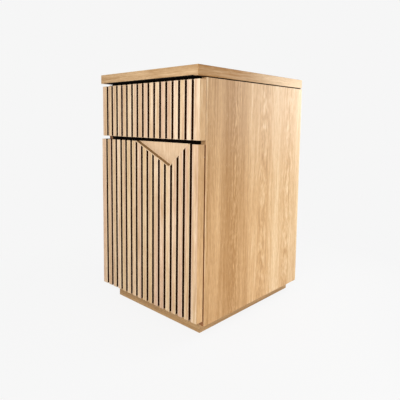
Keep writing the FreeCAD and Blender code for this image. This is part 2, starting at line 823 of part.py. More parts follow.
def hinge_cup(hinge):
    """A pressed steel cup with a round flange, two screw wings and two ears that hold the pin."""
    cup = new_body(f"hinge_cup_blank_{hinge}", CUP_X, DOOR_BACK, HINGE_LEVELS[hinge])
    cup.Placement = FreeCAD.Placement(FreeCAD.Vector(), ALONG["y"])
    wing_x = (s.cup_wing_shift - s.cup_wing_width / 2, s.cup_wing_shift + s.cup_wing_width / 2)
    wing_end = s.cup_screw_spacing / 2 + s.cup_wing_tail
    middle = (ZERO, ZERO)
    feature(cup, "Pad", rectangle(cup, "XY_Plane", wing_x, (-wing_end, wing_end)), s.cup_flange_steel)
    feature(cup, "Pad", circle(cup, "XY_Plane", middle, s.cup_radius + s.cup_rim), s.cup_flange_steel)
    feature(cup, "Pocket", circle(cup, "XY_Plane", middle, CUP_MOUTH), s.cup_flange_steel, reverse=True)
    profile = [
        (ZERO, CUP_UNDER),
        (CUP_OUTER, CUP_UNDER),
        (CUP_OUTER, s.cup_flange_steel),
        (CUP_MOUTH, s.cup_flange_steel),
        (CUP_MOUTH, CUP_FLOOR),
        (ZERO, CUP_FLOOR),
    ]
    turned = outline(cup, "XZ_Plane", profile)
    shell = cup.newObject("PartDesign::Revolution", f"hinge_cup_shell_{hinge}")
    shell.Profile = turned
    shell.ReferenceAxis = (turned, ["V_Axis"])
    ear_x = PIN_X - CUP_X
    ear_span = (ear_x - s.ear_half_width, ear_x + s.ear_half_width)
    ear_height = PIN_RISE + s.ear_half_width - CUP_UNDER
    for ends in ((EAR_INNER, EAR_OUTER), (-EAR_OUTER, -EAR_INNER)):
        feature(cup, "Pad", rectangle(cup, "XY_Plane", ear_span, ends, CUP_UNDER), ear_height)
    holes = [pin_rod(f"cup_pin_hole_{hinge}", s.pin_radius + s.fit_gap, hinge)]
    holes += cup_screws(screw_hole, "wing_hole", hinge)
    node(cut(f"hinge_cup_{hinge}", cup, holes))


def hinge_arm(hinge):
    """A cranked arm: it reaches sideways inside the cup, then back to a base block on the mounting plate."""
    half = s.arm_steel / 2
    seat = PLATE_TOP - PIN_X
    crank = (seat + s.arm_lift, seat + s.arm_lift + s.arm_steel)
    base = (s.arm_base_start, s.arm_base_start + s.arm_base_length)
    arm = new_body(f"hinge_arm_blank_{hinge}", PIN_X, PIN_Y, HINGE_LEVELS[hinge] - s.arm_height / 2)
    strip = [
        (ZERO, -half),
        (crank[1], -half),
        (crank[1], base[1]),
        (crank[0], base[1]),
        (crank[0], half),
        (ZERO, half),
    ]
    feature(arm, "Pad", outline(arm, "XY_Plane", strip), s.arm_height)
    feature(arm, "Pad", circle(arm, "XY_Plane", (ZERO, ZERO), s.arm_knuckle), s.arm_height)
    lift = (s.arm_height - s.arm_base_height) / 2
    feature(arm, "Pad", rectangle(arm, "XY_Plane", (seat, crank[1]), base, lift), s.arm_base_height)
    hole = pin_rod(f"knuckle_hole_{hinge}", s.pin_radius + s.fit_gap, hinge)
    node(cut(f"hinge_arm_{hinge}", arm, [hole]))


def hinge_plate(hinge):
    """A cross-shaped plate screwed to the left side; the arm sits along its bar."""
    bar = (s.plate_length / 2, s.plate_bar / 2)
    wing = (s.plate_wing / 2, s.plate_screw_spacing / 2 + s.plate_tail)
    quarter = [(bar[0], bar[1]), (wing[0], bar[1]), (wing[0], wing[1])]
    points = quarter
    points = points + [(-y, z) for y, z in reversed(quarter)]
    points = points + [(-y, -z) for y, z in quarter]
    points = points + [(y, -z) for y, z in reversed(quarter)]
    plate = new_body(f"hinge_plate_blank_{hinge}", INNER_LEFT, PLATE_MIDDLE, HINGE_LEVELS[hinge])
    feature(plate, "Pad", outline(plate, "YZ_Plane", points), s.plate_steel)
    node(cut(f"hinge_plate_{hinge}", plate, plate_screws(screw_hole, "own_plate_hole", hinge)))


def hinges():
    pins = []
    wing_screws = []
    side_screws = []
    for hinge in HINGE_LEVELS:
        hinge_cup(hinge)
        hinge_arm(hinge)
        hinge_plate(hinge)
        pins.append(pin_rod(f"pin_{hinge}", s.pin_radius, hinge))
        wing_screws += cup_screws(screw, "cup_screw", hinge, head="high")
        side_screws += plate_screws(screw, "plate_screw", hinge, head="high")
    node(group("hinge_pins", pins))
    node(group("hinge_cup_screws", wing_screws))
    node(group("hinge_plate_screws", side_screws))


def write_parts():
    """Stop on any broken object, then write each piece to a file of its own."""
    doc.recompute()
    for thing in doc.Objects:
        if {"Invalid", "Error"} & set(thing.State):
            raise RuntimeError(f"{thing.Label} failed: {thing.State}")
    for piece in nodes:
        if piece.Shape.isNull() or not piece.Shape.isValid():
            raise RuntimeError(f"{piece.Label} has no valid shape")
    os.makedirs("parts", exist_ok=True)
    for piece in nodes:
        piece.Shape.exportStep(f"parts/{piece.Label}.step")


top_panel()
side_panels()
cross_boards()
back_panel()
shelf()
plinth()
bumpers()
drawer()
runners()
door()
hinges()
write_parts()
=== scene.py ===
import math

import bmesh
import bpy
from mathutils import Matrix, Vector

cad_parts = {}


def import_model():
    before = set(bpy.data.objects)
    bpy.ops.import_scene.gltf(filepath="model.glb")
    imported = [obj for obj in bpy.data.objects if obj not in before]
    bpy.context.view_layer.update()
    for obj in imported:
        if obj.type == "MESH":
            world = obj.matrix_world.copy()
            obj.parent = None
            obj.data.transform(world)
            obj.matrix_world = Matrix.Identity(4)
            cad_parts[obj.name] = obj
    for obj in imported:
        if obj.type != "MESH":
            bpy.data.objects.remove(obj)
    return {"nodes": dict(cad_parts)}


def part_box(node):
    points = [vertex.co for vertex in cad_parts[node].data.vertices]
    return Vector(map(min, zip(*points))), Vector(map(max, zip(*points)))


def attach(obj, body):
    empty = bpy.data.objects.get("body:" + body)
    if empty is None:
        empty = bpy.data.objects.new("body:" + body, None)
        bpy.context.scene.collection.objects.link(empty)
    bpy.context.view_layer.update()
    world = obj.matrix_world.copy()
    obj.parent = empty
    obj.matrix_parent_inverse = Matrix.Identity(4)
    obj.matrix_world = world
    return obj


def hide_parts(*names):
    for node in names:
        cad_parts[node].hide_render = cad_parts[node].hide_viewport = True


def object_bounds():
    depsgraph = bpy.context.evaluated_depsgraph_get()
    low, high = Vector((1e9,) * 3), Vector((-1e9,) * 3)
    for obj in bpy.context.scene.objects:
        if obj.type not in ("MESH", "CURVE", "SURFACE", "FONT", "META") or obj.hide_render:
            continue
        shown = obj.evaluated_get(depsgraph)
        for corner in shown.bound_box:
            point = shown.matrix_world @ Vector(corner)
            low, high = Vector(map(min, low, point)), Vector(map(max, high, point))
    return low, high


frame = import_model()
cad_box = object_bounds()
nodes = frame["nodes"]

# Places of the three axes in a vector
X, Y, Z = range(3)

# Camera at the photograph's viewing angle: metres, degrees, and millimetres for the lens and the sensor
CAMERA_PLACE = (0.8327, -0.9016, 0.5199)
CAMERA_TURN = 43.191
CAMERA_TILT = -5.782
CAMERA_ROLL = 0.693
CAMERA_LENS = 37.321
CAMERA_SENSOR = 36.0

# The tilt takes over part of the photograph's lens shift, so that the top stays in view from other sides
CAMERA_SHIFT = -0.09

# Backdrop and floor: brightness, and the distances between which the floor fades into the backdrop
BACKGROUND = 0.922
WORLD_LEVEL = 0.48
FLOOR_HALF = 30.0
FLOOR_TONE = 0.85
FLOOR_FADE = (0.3, 0.8)
FLOOR_SHARE = 0.93
FLOOR_GLOW = 0.945

# Lamps: name, place, point aimed at, width and height, power
LAMPS = (
    ("front_light", (0.35, -1.15, 0.66), (0.0, -0.2, 0.4), (0.7, 0.7), 7.6),
    ("back_light", (0.55, 0.85, 0.7), (0.19, 0.1, 0.48), (0.55, 0.6), 7.6),
    ("low_light", (0.75, -0.15, 0.12), (0.19, -0.1, 0.1), (0.4, 0.2), 1.2),
)

# Names that repeat in the nodes
SIDES = ("left", "right")
FACES = ("front", "back")
HINGES = ("upper", "lower")


def tone(red, green, blue):
    """A colour given as it looks on screen, 0 to 255, as linear light."""
    def linear(level):
        part = level / 255.0
        return part / 12.92 if part <= 0.04045 else ((part + 0.055) / 1.055) ** 2.4
    return (linear(red), linear(green), linear(blue), 1.0)


# Colours of the woods, darkest to lightest
OAK = (tone(166, 122, 70), tone(203, 162, 113), tone(234, 207, 166))
SLAB = (tone(132, 94, 50), tone(176, 138, 95), tone(214, 180, 138))
SLAB_END = (tone(138, 92, 40), tone(164, 116, 58), tone(231, 200, 160))
SLAT = (tone(189, 151, 111), tone(220, 187, 150), tone(248, 226, 195))
BOX_WOOD = (tone(205, 172, 130), tone(224, 196, 156), tone(238, 216, 182))
BEECH = (tone(186, 142, 102), tone(205, 164, 122), tone(220, 184, 144))
PLINTH = (tone(158, 122, 78), tone(180, 143, 97), tone(200, 164, 116))

# Single colours and pairs that are mixed
WHITE = (1.0, 1.0, 1.0, 1.0)
SLAT_PINK = tone(213, 174, 152)
SLAT_YELLOW = tone(221, 192, 143)
PORE = tone(112, 76, 40)
# Pale of rubbed edges and arrises: partly wear, partly a painted highlight
WORN_HIGHLIGHT = tone(250, 232, 204)
# Painted shade: a thin dark line along the slats' arrises at the grooves
ARRIS_SHADE = tone(98, 58, 24)
SHADED_WALL = tone(128, 94, 44)
# Painted shade of the lippings' front edges, in the gap beside the door
LIPPING_SHADE = (0.54, 0.36, 0.24, 1.0)
# Near-black of the boards in the gaps, of the slab's underside and of the door's top band; on the underside
# and the band it is painted shade
GAP_BLACK = (tone(7, 4, 2), tone(18, 11, 6))
GROOVE_STAIN = (tone(44, 20, 5), tone(62, 31, 9))
ZINC = (tone(196, 199, 203), tone(158, 162, 168))
NICKEL = (tone(214, 211, 205), tone(182, 180, 175))
RUBBER = (tone(206, 206, 200), tone(228, 228, 224))

# Strength of the shine
OAK_GLOSS = 0.36
SLAB_GLOSS = 0.15
SLAT_GLOSS = 0.1
STAIN_GLOSS = 0.03

# Grain: waves in a metre across a board and along it
BROAD_WAVES = (34, 1.6)
STREAK_WAVES = (170, 5.5)
FIBRE_WAVES = (560, 16)
RING_WAVES = (26, 7)
DASH_WAVES = (330, 70)
TINT_WAVES = (150, 1.5)
PORE_WAVES = (1400, 45)
FLECK_WAVES = (300, 80)
STREAK_FRAY = 0.62

# Grain: how much each part of it changes the lightness or the colour
BROAD_SHARE = 1.05
STREAK_SHARE = 1.1
FIBRE_SHARE = 0.8
FLITCH_SHARE = 0.22
SLAT_SHARE = 0.4
RIM_SHARE = 0.16
RING_SHARE = 0.3
DASH_SHARE = 1.1
PORE_SHARE = 0.36
FLECK_SHARE = 0.22

# Grain: noise levels at which pores and flecks begin and are full
PORE_EDGE = (0.55, 0.72)
FLECK_EDGE = (0.64, 0.76)

# Arched figure: the rings' slope, waver and spacing, and how far from a flitch's middle they show fully
RING_SLOPE = 0.03
RING_SLOPE_SPREAD = 0.06
RING_WAVER = 0.022
RING_RATE = 1250
HEART = (0.006, 0.024)
BEYOND_HEART = 0.35

# Roughness and relief of oak
OAK_ROUGH = 0.46
FIBRE_ROUGH = 0.16
PORE_ROUGH = 0.14
STREAK_RELIEF = 0.35
RELIEF_DEPTH = 0.00012
RELIEF_STRENGTH = 0.5

# Eased edges: their radius, how far they turn until they are fully rubbed, and how much their wear and
# painted highlight show
EDGE_RADIUS = 0.0008
EDGE_SAMPLES = 6
EDGE_TURN = 0.75
EDGE_ROUGH = 0.2
EDGE_HIGHLIGHT_WEAR = 0.35
BAND_HIGHLIGHT_WEAR = 0.1

# A surface faces a way when that part of its direction is larger than this
FACING = 0.5

# Slats of each front; from a slat's middle, where its rubbed arris with a painted highlight begins and
# where the painted shade line at the groove begins; and the slats' pink and yellow
SLATS = 17
SLAT_PITCH = (cad_box[1][X] - cad_box[0][X]) / SLATS
SLAT_EASE = (0.0047, 0.0072)
TINT_SEED = 0.37
TINT_EDGE = (0.38, 0.62)
TINT_BANDS = 0.6
PINK_SHARE = 0.65
YELLOW_SHARE = 0.6
RUBBED_HIGHLIGHT_SHARE = 0.5

# Painted shade on the lippings' front edges and on the pull's recess walls: directions between which it
# darkens them, and how much
LIPPING_FRONT = (-0.5, -0.9)
LIPPING_SHADE_ABOVE_DOOR = {"left": 1.0, "right": 0.25}
PULL_WALL = (0.6, 0.3)
PULL_WALL_SHADE = 0.9

# Widths of the flitches of veneer; the pull's is given in widths of the pull
FLITCH = 0.085
CORE_FLITCH = 0.095
BOX_FLITCH = 0.05
TRAY_FLITCH = 0.09
PULL_FLITCH = 2

# How pale oak is, and the stretch from front to back over which painted light from the back makes it paler
PALE = 0.46
PAINTED_LIGHT_SPAN = (-0.1, cad_box[1][Y])

# Looks of boards: flitches, strength of figure, grain and zones, how pale the wood is, and how much painted
# light from the back pales it towards the back
SIDE_LOOK = {
    "flitch": 0.124,
    "start": -0.1495,
    "figure": 0.9,
    "lively": 0.62,
    "zones": 0.9,
    "pale": 0.22,
    "painted_back_light": 0.5,
}
SLAB_LOOK = {"flitch": 0.11, "start": 0.115, "lively": 0.8, "pale": 0.48, "painted_back_light": 0.5}
SLAB_END_LOOK = {
    "flitch": 0.11,
    "start": 0.6,
    "figure": 0.15,
    "lively": 0.4,
    "zones": 0.6,
    "pale": 0.5,
    "painted_back_light": 0.5,
}
SLAT_LOOK = {
    "flitch": SLAT_PITCH,
    "start": cad_box[0][X],
    "slats": True,
    "figure": 0.25,
    "lively": 1.6,
    "zones": 0.3,
}
PULL_LOOK = {"figure": 0.3, "lively": 0.4, "zones": 0.3, "pale": 0.52}
BAND_LOOK = {"figure": 0.3, "lively": 0.7}

# Seeds: each board's own figure
SEED = {
    "slab": 0.37,
    "side_left": 1.31,
    "side_right": 2.03,
    "lipping_left": 1.51,
    "lipping_right": 2.23,
    "plinth_sides": 8.8,
    "plinth_faces": 8.1,
    "plinth_blocks": 10.4,
    "bottom": 6.2,
    "shelf": 6.9,
    "back": 7.4,
    "tenons": 11.7,
    "drawer_slats": 16.92,
    "drawer_core": 3.7,
    "drawer_uprights": 3.2,
    "drawer_rails": 3.4,
    "door_slats": 4.77,
    "door_core": 5.9,
    "door_uprights": 5.4,
    "door_rails": 5.6,
    "pull": 5.9,
    "box_sides": 9.3,
    "box_faces": 9.9,
    "tray": 11.0,
}

# How frayed the noise in stain and plated steel is
NOISE_FRAY = 0.6

# Dark stain and painted shade: waves in a metre, roughness and relief
MOTTLE_WAVES = 90
STAIN_WAVES = 900
STAIN_ROUGH = 0.6
STAIN_ROUGH_SPREAD = 0.2
STAIN_DEPTH = 0.00008
STAIN_STRENGTH = 0.5

# Plated steel: waves in a metre, stretch of the drawing lines, roughness and relief
CLOUD_WAVES = 60
CLOUD_ROUGH = 0.12
LINE_WAVES = 1800
LINE_STRETCH = 0.04
LINE_ROUGH = 0.18
LINE_DEPTH = 0.00004
LINE_STRENGTH = 0.4
ZINC_ROUGH = 0.24
NICKEL_ROUGH = 0.16

# Rubber: waves in a metre, roughness, relief and clearness
RUBBER_WAVES = 700
RUBBER_ROUGH = 0.3
RUBBER_ROUGH_SPREAD = 0.2
RUBBER_DEPTH = 0.00005
RUBBER_STRENGTH = 0.4
RUBBER_CLEAR = 0.35
RUBBER_IOR = 1.41


class Graph:
    """The shader nodes of one material, added and linked by short calls."""

    def __init__(self, owner):
        owner.use_nodes = True
        self.tree = owner.node_tree
        self.tree.nodes.clear()

    def add(self, kind, inputs=None, **settings):
        made = self.tree.nodes.new(f"ShaderNode{kind}")
        for name, value in settings.items():
            setattr(made, name, value)
        for key, value in (inputs or {}).items():
            self.feed(made.inputs[key], value)
        return made

    def feed(self, socket, value):
        if isinstance(value, bpy.types.NodeSocket):
            self.tree.links.new(value, socket)
        else:
            socket.default_value = value

    def math(self, operation, first, second=0.0, third=0.0, clamp=False):
        inputs = {0: first, 1: second, 2: third}
        return self.add("Math", inputs, operation=operation, use_clamp=clamp).outputs[0]

    def vector(self, x, y, z):
        return self.add("CombineXYZ", {0: x, 1: y, 2: z}).outputs[0]

    def noise(self, vector, scale=1.0, detail=2.0, roughness=0.5):
        inputs = {"Vector": vector, "Scale": scale, "Detail": detail, "Roughness": roughness}
        return self.add("TexNoise", inputs).outputs[0]

    def random(self, number):
        return self.add("TexWhiteNoise", {"W": number}, noise_dimensions="1D").outputs["Value"]

    def spread(self, value, low, high, to_low=0.0, to_high=1.0):
        inputs = {0: value, 1: low, 2: high, 3: to_low, 4: to_high}
        return self.add("MapRange", inputs, clamp=True).outputs[0]

    def mix(self, factor, first, second, blend="MIX"):
        inputs = {0: factor, 6: first, 7: second}
        return self.add("Mix", inputs, data_type="RGBA", blend_type=blend).outputs[2]

    def choose(self, factor, first, second):
        return self.add("Mix", {0: factor, 2: first, 3: second}, data_type="FLOAT").outputs[0]

    def place(self):
        """A point in the piece's own frame, in metres."""
        return self.add("TexCoord").outputs["Object"]

    def axes(self):
        """The three coordinates of a point in the piece's own frame."""
        return list(self.add("SeparateXYZ", {0: self.place()}).outputs)

    def direction(self):
        """The three parts of the surface's direction in the piece's own frame."""
        normal = self.add("TexCoord").outputs["Normal"]
        return list(self.add("SeparateXYZ", {0: normal}).outputs)

    def bump(self, height, distance, strength):
        inputs = {"Height": height, "Distance": distance, "Strength": strength}
        return self.add("Bump", inputs).outputs[0]

    def finish(self, shader):
        output = self.add("OutputMaterial")
        self.tree.links.new(shader.outputs[0], output.inputs["Surface"])


class Board:
    """A point's place along and across one board's grain, and in its flitch of veneer."""

    def __init__(self, graph, axes, seed, flitch, start):
        along, across, depth = axes(graph)
        order = graph.math("DIVIDE", graph.math("SUBTRACT", across, start), flitch)
        self.graph = graph
        self.seed = seed
        self.along = graph.math("ADD", along, seed)
        self.across = across
        self.depth = depth
        self.number = graph.math("FLOOR", order)
        self.offset = graph.math("SUBTRACT", graph.math("SUBTRACT", order, self.number), 0.5)
        self.aside = graph.math("MULTIPLY", self.offset, flitch)

    def own(self, shift=0.0):
        """A random value that each flitch has for itself."""
        return self.graph.random(self.graph.math("ADD", self.number, self.seed + shift))

    def waves(self, rates, **more):
        """Noise with the given waves in a metre across the grain and along it."""
        fine, long = rates
        place = self.graph.vector(
            self.graph.math("MULTIPLY", self.across, fine),
            self.graph.math("MULTIPLY", self.depth, fine),
            self.graph.math("MULTIPLY", self.along, long))
        return self.graph.noise(place, **more)


def new_material(name):
    material = bpy.data.materials.new(name)
    return material, Graph(material)


def grain_axes(grain, across):
    """Coordinates along the grain, across it and into the board."""
    depth = next(letter for letter in "XYZ" if letter not in (grain, across))

    def axes(graph):
        named = dict(zip("XYZ", graph.axes()))
        return named[grain], named[across], named[depth]
    return axes


def within(graph, half):
    """1 closer than the given reach to the middle plane, 0 beyond it."""
    return graph.math("LESS_THAN", graph.math("ABSOLUTE", graph.axes()[X]), half)


def between_grooves(graph):
    """1 between the middles of the outermost slats, where every slat's edge is at a groove."""
    return within(graph, cad_box[1][X] - SLAT_PITCH / 2)


def arched_figure(board, own):
    """Growth rings cut at a slant, and how strongly they show: most in the middle of a flitch."""
    graph = board.graph
    slope = graph.math("MULTIPLY_ADD", graph.math("SUBTRACT", own, 0.5), RING_SLOPE_SPREAD, RING_SLOPE)
    waver = board.waves(RING_WAVES)
    height = graph.math("MULTIPLY_ADD", waver, RING_WAVER, graph.math("MULTIPLY", board.along, slope))
    squares = graph.math("ADD", graph.math("POWER", board.aside, 2.0), graph.math("POWER", height, 2.0))
    swing = graph.math("SINE", graph.math("MULTIPLY", graph.math("SQRT", squares), RING_RATE))
    rings = graph.math("MULTIPLY_ADD", swing, 0.5, 0.5)
    heart = graph.spread(graph.math("ABSOLUTE", board.aside), *HEART, 1.0, BEYOND_HEART)
    return rings, heart


def lightness(board, streak, fibre, slats, figure=1.0, lively=1.0, zones=1.0, pale=PALE, painted_back_light=0.0):
    """How light the wood is at a point, from 0 to 1."""
    graph = board.graph

    def lighter(light, value, amount):
        return graph.math("MULTIPLY_ADD", graph.math("SUBTRACT", value, 0.5), amount, light)

    own = board.own()
    rings, heart = arched_figure(board, own)
    dashes = board.waves(DASH_WAVES, detail=1.0)
    # Paler towards the back: painted light from the back
    light = graph.spread(graph.axes()[Y], *PAINTED_LIGHT_SPAN, pale, pale + painted_back_light)
    light = lighter(light, board.waves(BROAD_WAVES), BROAD_SHARE * lively * zones)
    light = lighter(light, streak, STREAK_SHARE * lively)
    light = lighter(light, fibre, FIBRE_SHARE * lively)
    light = lighter(light, own, SLAT_SHARE if slats else FLITCH_SHARE * zones)
    if not slats:
        rim = graph.math("POWER", graph.math("MULTIPLY", board.offset, 2.0), 2.0)
        light = graph.math("MULTIPLY_ADD", rim, RIM_SHARE, light)
    marked = graph.math("MULTIPLY", graph.math("SUBTRACT", rings, 0.5), heart)
    light = graph.math("MULTIPLY_ADD", marked, RING_SHARE * figure, light)
    marked = graph.math("MULTIPLY", graph.math("SUBTRACT", dashes, 0.5), heart)
    return graph.math("MULTIPLY_ADD", marked, DASH_SHARE * figure, light, clamp=True)


def slat_tints(board, colour):
    """Slats lean to pink or yellow; beside a groove they are rubbed paler with a painted highlight, then
    carry a thin line of painted shade.
    """
    graph = board.graph
    band = graph.spread(board.waves(TINT_WAVES, detail=1.0), *TINT_EDGE)
    tint = graph.choose(TINT_BANDS, board.own(TINT_SEED), band)
    colour = graph.mix(graph.spread(tint, 0.5, 1.0, 0.0, PINK_SHARE), colour, SLAT_PINK)
    colour = graph.mix(graph.spread(tint, 0.5, 0.0, 0.0, YELLOW_SHARE), colour, SLAT_YELLOW)
    out = graph.math("ABSOLUTE", board.aside)
    beside = between_grooves(graph)
    # Paler beside the grooves: wear and a painted highlight
    rubbed_highlight = graph.math("MULTIPLY", graph.spread(out, *SLAT_EASE, 0.0, RUBBED_HIGHLIGHT_SHARE), beside)
    colour = graph.mix(rubbed_highlight, colour, WORN_HIGHLIGHT)
    # A thin line of painted shade at the groove's edge
    arris_shade_mask = graph.math("MULTIPLY", graph.math("GREATER_THAN", out, SLAT_EASE[1]), beside)
    return graph.mix(arris_shade_mask, colour, ARRIS_SHADE)


def oak_figure(graph, axes, colours, seed, flitch=FLITCH, start=0.0, slats=False, **look):
    """Oak's colour, roughness and relief, from flitches, streaks, arches, pores and flecks."""
    board = Board(graph, axes, seed, flitch, start)
    streak = board.waves(STREAK_WAVES, detail=3.0, roughness=STREAK_FRAY)
    fibre = board.waves(FIBRE_WAVES)
    light = lightness(board, streak, fibre, slats, **look)
    deep, middle, bright = colours
    lower = graph.mix(graph.spread(light, 0.0, 0.5), deep, middle)
    colour = graph.mix(graph.spread(light, 0.5, 1.0), lower, bright)
    if slats:
        colour = slat_tints(board, colour)
    pores = graph.spread(board.waves(PORE_WAVES), *PORE_EDGE)
    colour = graph.mix(graph.math("MULTIPLY", pores, PORE_SHARE), colour, PORE)
    flecks = graph.spread(board.waves(FLECK_WAVES, detail=1.0), *FLECK_EDGE)
    colour = graph.mix(graph.math("MULTIPLY", flecks, FLECK_SHARE), colour, bright)
    rough = graph.math("MULTIPLY_ADD", fibre, FIBRE_ROUGH, OAK_ROUGH)
    rough = graph.math("MULTIPLY_ADD", pores, PORE_ROUGH, rough)
    relief = graph.math("SUBTRACT", graph.math("MULTIPLY", streak, STREAK_RELIEF), pores)
    return colour, rough, relief


def lacquered(graph, colour, rough, relief, highlight_wear=EDGE_HIGHLIGHT_WEAR, gloss=OAK_GLOSS):
    """A satin coat over the wood, paler along its eased edges: partly wear, partly a painted highlight."""
    eased = graph.add("Bevel", {"Radius": EDGE_RADIUS}, samples=EDGE_SAMPLES).outputs[0]
    flat = graph.add("NewGeometry").outputs["True Normal"]
    match = graph.add("VectorMath", {0: eased, 1: flat}, operation="DOT_PRODUCT").outputs["Value"]
    edge_wear_highlight = graph.spread(match, 1.0, EDGE_TURN, 0.0, highlight_wear)
    colour = graph.mix(edge_wear_highlight, colour, WORN_HIGHLIGHT)
    rough = graph.math("MULTIPLY_ADD", edge_wear_highlight, EDGE_ROUGH, rough)
    bump = {"Height": relief, "Distance": RELIEF_DEPTH, "Strength": RELIEF_STRENGTH, "Normal": eased}
    normal = graph.add("Bump", bump).outputs[0]
    inputs = {"Base Color": colour, "Roughness": rough, "Normal": normal, "Specular IOR Level": gloss}
    graph.finish(graph.add("BsdfPrincipled", inputs))


def oak(name, axes, colours, seed, highlight_wear=EDGE_HIGHLIGHT_WEAR, **look):
    """A lacquered board in the given colours."""
    material, graph = new_material(name)
    colour, rough, relief = oak_figure(graph, axes, colours, seed, **look)
    lacquered(graph, colour, rough, relief, highlight_wear)
    return material


def stain_and_shade(graph, dark_tones):
    """A dark colour over mottled fibre, stain in the grooves and painted shade under the slab and on the
    door's top band: its colour, roughness and relief.
    """
    place = graph.place()
    mottle = graph.noise(place, MOTTLE_WAVES, detail=4.0, roughness=NOISE_FRAY)
    fibre = graph.noise(place, STAIN_WAVES, detail=3.0, roughness=NOISE_FRAY)
    rough = graph.math("MULTIPLY_ADD", fibre, STAIN_ROUGH_SPREAD, STAIN_ROUGH)
    return graph.mix(mottle, *dark_tones), rough, fibre


def dark_board(name):
    """A near-black board, dull all over."""
    material, graph = new_material(name)
    colour, rough, fibre = stain_and_shade(graph, GAP_BLACK)
    normal = graph.bump(fibre, STAIN_DEPTH, STAIN_STRENGTH)
    inputs = {"Base Color": colour, "Roughness": rough, "Normal": normal}
    inputs["Specular IOR Level"] = STAIN_GLOSS
    graph.finish(graph.add("BsdfPrincipled", inputs))
    return material


def figured(axes, colours, seed, **look):
    """Oak's figure in the given colours and look, as a function of the graph that it is added to."""
    def wood(graph):
        return oak_figure(graph, axes, colours, seed, **look)
    return wood


def slab_wood(graph):
    """The slab's front in its own tones, the side panels' oak on top and calm bands on the two ends."""
    x, _, z = graph.direction()
    end = graph.math("GREATER_THAN", graph.math("ABSOLUTE", x), FACING)
    top = graph.math("GREATER_THAN", z, FACING)
    tones = [graph.mix(top, edge, face) for edge, face in zip(SLAB, OAK)]
    board = figured(grain_axes("X", "Y"), tones, SEED["slab"], **SLAB_LOOK)
    band = figured(grain_axes("Y", "Z"), SLAB_END, SEED["slab"], **SLAB_END_LOOK)
    colour, rough, relief = board(graph)
    end_colour, end_rough, end_relief = band(graph)
    colour = graph.mix(end, colour, end_colour)
    return colour, graph.choose(end, rough, end_rough), graph.choose(end, relief, end_relief)


def two_faced(name, wood, darkened_here, dark_tones, gloss):
    """Oak on some faces, and where the given function says so a dark colour: stain in the grooves, painted
    shade under the slab.
    """
    material, graph = new_material(name)
    colour, rough, relief = wood(graph)
    dark, dark_rough, fibre = stain_and_shade(graph, dark_tones)
    where = darkened_here(graph)
    colour = graph.mix(where, colour, dark)
    rough = graph.choose(where, rough, dark_rough)
    lacquered(graph, colour, rough, graph.choose(where, relief, fibre), highlight_wear=0.0, gloss=gloss)
    return material


def slab_underside_shade(graph):
    """The slab's underside between the side panels, which is given painted shade."""
    downwards = graph.math("LESS_THAN", graph.direction()[Z], -FACING)
    return graph.math("MULTIPLY", downwards, within(graph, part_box("divider")[1].x))


def groove_walls(graph):
    """The sides of the slats that look into a groove."""
    sideways = graph.math("GREATER_THAN", graph.math("ABSOLUTE", graph.direction()[X]), FACING)
    return graph.math("MULTIPLY", sideways, between_grooves(graph))


def not_the_back(graph):
    """Every face of a core but the veneered one that looks into the cupboard."""
    return graph.math("LESS_THAN", graph.direction()[Y], FACING)


def lipping_oak(name, seed, above):
    """Solid oak whose front edge carries painted shade: fully behind the door, by the given share above it.
    """
    material, graph = new_material(name)
    colour, rough, relief = oak_figure(graph, grain_axes("Z", "X"), OAK, seed)
    front = graph.spread(graph.direction()[Y], *LIPPING_FRONT)
    behind_door = graph.math("LESS_THAN", graph.axes()[Z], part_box("door_core")[1].z)
    lipping_shade_mask = graph.math("MULTIPLY", front, graph.choose(behind_door, above, 1.0))
    lacquered(graph, graph.mix(lipping_shade_mask, colour, LIPPING_SHADE, "MULTIPLY"), rough, relief)
    return material


def pull_oak(name):
    """Oak whose recess walls, turned away from the light, carry painted shade."""
    material, graph = new_material(name)
    low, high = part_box("door_pull")
    flitch = PULL_FLITCH * (high.x - low.x)
    start = (low.x + high.x - flitch) / 2
    wood = figured(grain_axes("Z", "X"), SLAT, SEED["pull"], flitch=flitch, start=start, **PULL_LOOK)
    colour, rough, relief = wood(graph)
    wall_shade = graph.spread(graph.math("ABSOLUTE", graph.direction()[Y]), *PULL_WALL, 0.0, PULL_WALL_SHADE)
    lacquered(graph, graph.mix(wall_shade, colour, SHADED_WALL), rough, relief)
    return material


def metal(name, colours, roughness):
    """Plated steel with fine drawing lines and cloudy patches."""
    material, graph = new_material(name)
    x, y, z = graph.axes()
    cloud = graph.noise(graph.vector(x, y, z), CLOUD_WAVES, detail=3.0, roughness=NOISE_FRAY)
    drawn = graph.vector(x, graph.math("MULTIPLY", y, LINE_STRETCH), z)
    lines = graph.noise(drawn, LINE_WAVES, detail=3.0, roughness=NOISE_FRAY)
    colour = graph.mix(cloud, *colours)
    rough = graph.math("MULTIPLY_ADD", cloud, CLOUD_ROUGH, roughness)
    rough = graph.math("MULTIPLY_ADD", lines, LINE_ROUGH, rough)
    normal = graph.bump(lines, LINE_DEPTH, LINE_STRENGTH)
    inputs = {"Base Color": colour, "Roughness": rough, "Normal": normal, "Metallic": 1.0}
    graph.finish(graph.add("BsdfPrincipled", inputs))
    return material


def soft_plastic(name):
    """Cloudy clear rubber of a stick-on stop."""
    material, graph = new_material(name)
    cloud = graph.noise(graph.place(), RUBBER_WAVES, detail=3.0)
    colour = graph.mix(cloud, *RUBBER)
    rough = graph.math("MULTIPLY_ADD", cloud, RUBBER_ROUGH_SPREAD, RUBBER_ROUGH)
    normal = graph.bump(cloud, RUBBER_DEPTH, RUBBER_STRENGTH)
    inputs = {"Base Color": colour, "Roughness": rough, "Normal": normal}
    inputs.update({"Transmission Weight": RUBBER_CLEAR, "IOR": RUBBER_IOR})
    graph.finish(graph.add("BsdfPrincipled", inputs))
    return material


def dress(node, material):
    slots = nodes[node].data.materials
    slots.clear()
    slots.append(material)


